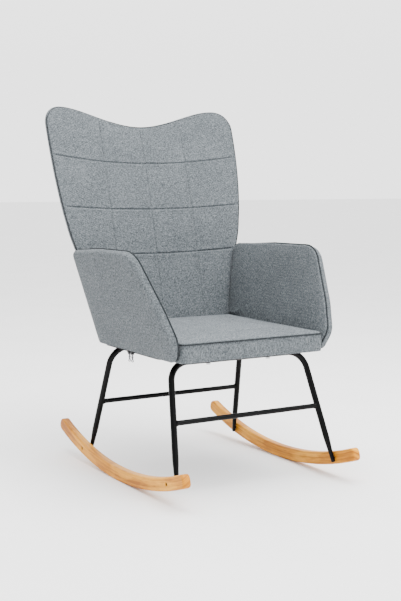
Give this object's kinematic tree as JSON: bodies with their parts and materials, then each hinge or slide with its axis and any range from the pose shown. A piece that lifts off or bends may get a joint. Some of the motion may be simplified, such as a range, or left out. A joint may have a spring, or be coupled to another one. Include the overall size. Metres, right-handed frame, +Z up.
{
  "type": "rocking chair",
  "caption": "Upholstered wing-back rocking chair with padded arms and seat on bent steel leg hoops, bolted to curved wooden rockers, with zips under the arms.",
  "frame": {"origin": "centre of the bounding box on the floor under the chair, with the chair upright as stored", "axes": "+Z up, the front of the chair faces -Y, +X is the sitter's left arm"},
  "size_m": [0.598, 0.7288, 0.9769],
  "materials": {
    "rocker_beech": "clear satin lacquer on pale hardwood",
    "black_steel": "satin black powder coat",
    "zinc_steel": "bright zinc plate",
    "birch_plywood": "raw plywood",
    "upholstery_foam": "open-cell foam",
    "grey_fabric": "heathered woven cloth",
    "charcoal_piping": "charcoal corded piping",
    "black_lining": "thin black lining cloth",
    "zip_tape": "woven zip tape with moulded teeth",
    "zip_black_metal": "black enamel",
    "zip_pull_metal": "black nickel plate"
  },
  "bodies": {
    "chair": {"left_rocker": "rocker_beech", "right_rocker": "rocker_beech", "front_leg_hoop": "black_steel", "rear_leg_hoop": "black_steel", "front_stretcher": "black_steel", "rear_stretcher": "black_steel", "leg_end_inserts": "zinc_steel", "rocker_bolts": "zinc_steel", "seat_front_rail": "birch_plywood", "seat_rear_rail": "birch_plywood", "seat_left_rail": "birch_plywood", "seat_right_rail": "birch_plywood", "seat_board": "birch_plywood", "seat_foam": "upholstery_foam", "seat_top_cover": "grey_fabric", "seat_band": "grey_fabric", "seat_piping": "charcoal_piping", "seat_dust_cover": "black_lining", "seat_bolts": "zinc_steel", "seat_tee_nuts": "zinc_steel", "back_board": "birch_plywood", "back_foam": "upholstery_foam", "back_front_cover": "grey_fabric", "back_rear_cover": "grey_fabric", "back_piping": "charcoal_piping", "back_screws": "zinc_steel", "left_arm_board": "birch_plywood", "left_arm_inner_foam": "upholstery_foam", "left_arm_outer_foam": "upholstery_foam", "left_arm_inner_cover": "grey_fabric", "left_arm_outer_cover": "grey_fabric", "left_arm_piping": "charcoal_piping", "right_arm_board": "birch_plywood", "right_arm_inner_foam": "upholstery_foam", "right_arm_outer_foam": "upholstery_foam", "right_arm_inner_cover": "grey_fabric", "right_arm_outer_cover": "grey_fabric", "right_arm_piping": "charcoal_piping", "arm_bolts": "zinc_steel", "arm_tee_nuts": "zinc_steel", "left_zip": "zip_tape", "right_zip": "zip_tape"},
    "left_front_slider": {"left_front_slider": "zip_black_metal"},
    "left_rear_slider": {"left_rear_slider": "zip_black_metal"},
    "right_front_slider": {"right_front_slider": "zip_black_metal"},
    "right_rear_slider": {"right_rear_slider": "zip_black_metal"},
    "left_front_pull": {"left_front_pull": "zip_pull_metal"},
    "left_rear_pull": {"left_rear_pull": "zip_pull_metal"},
    "right_front_pull": {"right_front_pull": "zip_pull_metal"},
    "right_rear_pull": {"right_rear_pull": "zip_pull_metal"}
  },
  "joints": [
    {"name": "left_front_zip_slide", "type": "slide", "parent": "chair", "child": "left_front_slider", "axis": [0, 1, 0], "range_m": [-0.14, 0]},
    {"name": "left_rear_zip_slide", "type": "slide", "parent": "chair", "child": "left_rear_slider", "axis": [0, 1, 0], "range_m": [0, 0.11]},
    {"name": "right_front_zip_slide", "type": "slide", "parent": "chair", "child": "right_front_slider", "axis": [0, 1, 0], "range_m": [-0.14, 0]},
    {"name": "right_rear_zip_slide", "type": "slide", "parent": "chair", "child": "right_rear_slider", "axis": [0, 1, 0], "range_m": [0, 0.11]},
    {"name": "left_front_pull_swing", "type": "hinge", "parent": "left_front_slider", "child": "left_front_pull", "pos_m": [0.222, -0.03592, 0.3292], "axis": [1, 0, 0], "range_deg": [-85, 15]},
    {"name": "left_rear_pull_swing", "type": "hinge", "parent": "left_rear_slider", "child": "left_rear_pull", "pos_m": [0.222, -0.01992, 0.3292], "axis": [1, 0, 0], "range_deg": [-15, 85]},
    {"name": "right_front_pull_swing", "type": "hinge", "parent": "right_front_slider", "child": "right_front_pull", "pos_m": [-0.222, -0.03592, 0.3292], "axis": [1, 0, 0], "range_deg": [-85, 15]},
    {"name": "right_rear_pull_swing", "type": "hinge", "parent": "right_rear_slider", "child": "right_rear_pull", "pos_m": [-0.222, -0.01992, 0.3292], "axis": [1, 0, 0], "range_deg": [-15, 85]}
  ]
}
